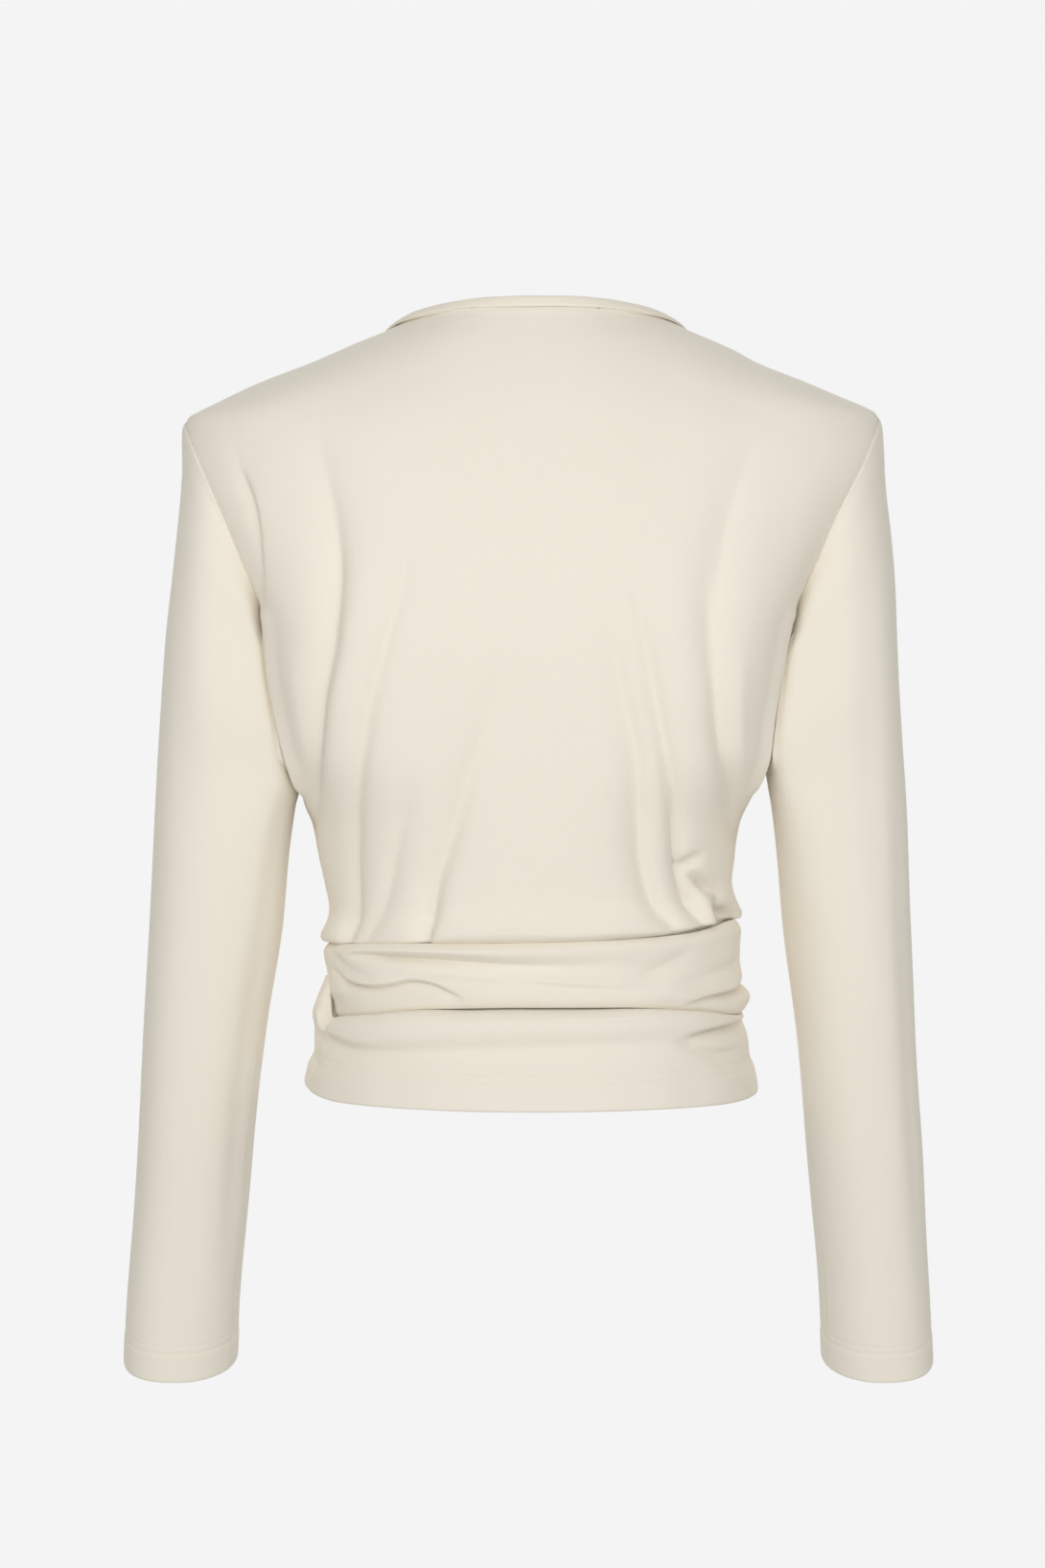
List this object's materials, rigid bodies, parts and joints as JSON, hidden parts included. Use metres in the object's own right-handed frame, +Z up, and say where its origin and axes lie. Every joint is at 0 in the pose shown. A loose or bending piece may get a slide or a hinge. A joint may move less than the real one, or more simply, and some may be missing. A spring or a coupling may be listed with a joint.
{
  "type": "jersey blouse",
  "caption": "Long-sleeved jersey blouse with a bound round neck, a draped sash waist and a turned hem, kept in its hollow worn form.",
  "frame": {"origin": "between the shoulders, level with the sides of the neck, where the wearer holds the blouse up", "axes": "+Z up, the garment's front faces +Y and its back faces -Y, the wearer's right is +X"},
  "size_m": [0.519, 0.2272, 0.683],
  "materials": {
    "jersey": "soft matte cream knit jersey",
    "binding": "soft matte cream knit jersey, folded and topstitched"
  },
  "bodies": {
    "root": {"back": "jersey", "front": "jersey", "sleeve_left": "jersey", "sleeve_right": "jersey", "neckband": "binding", "sash": "jersey", "lower_back": "jersey", "lower_front": "jersey"}
  },
  "joints": []
}
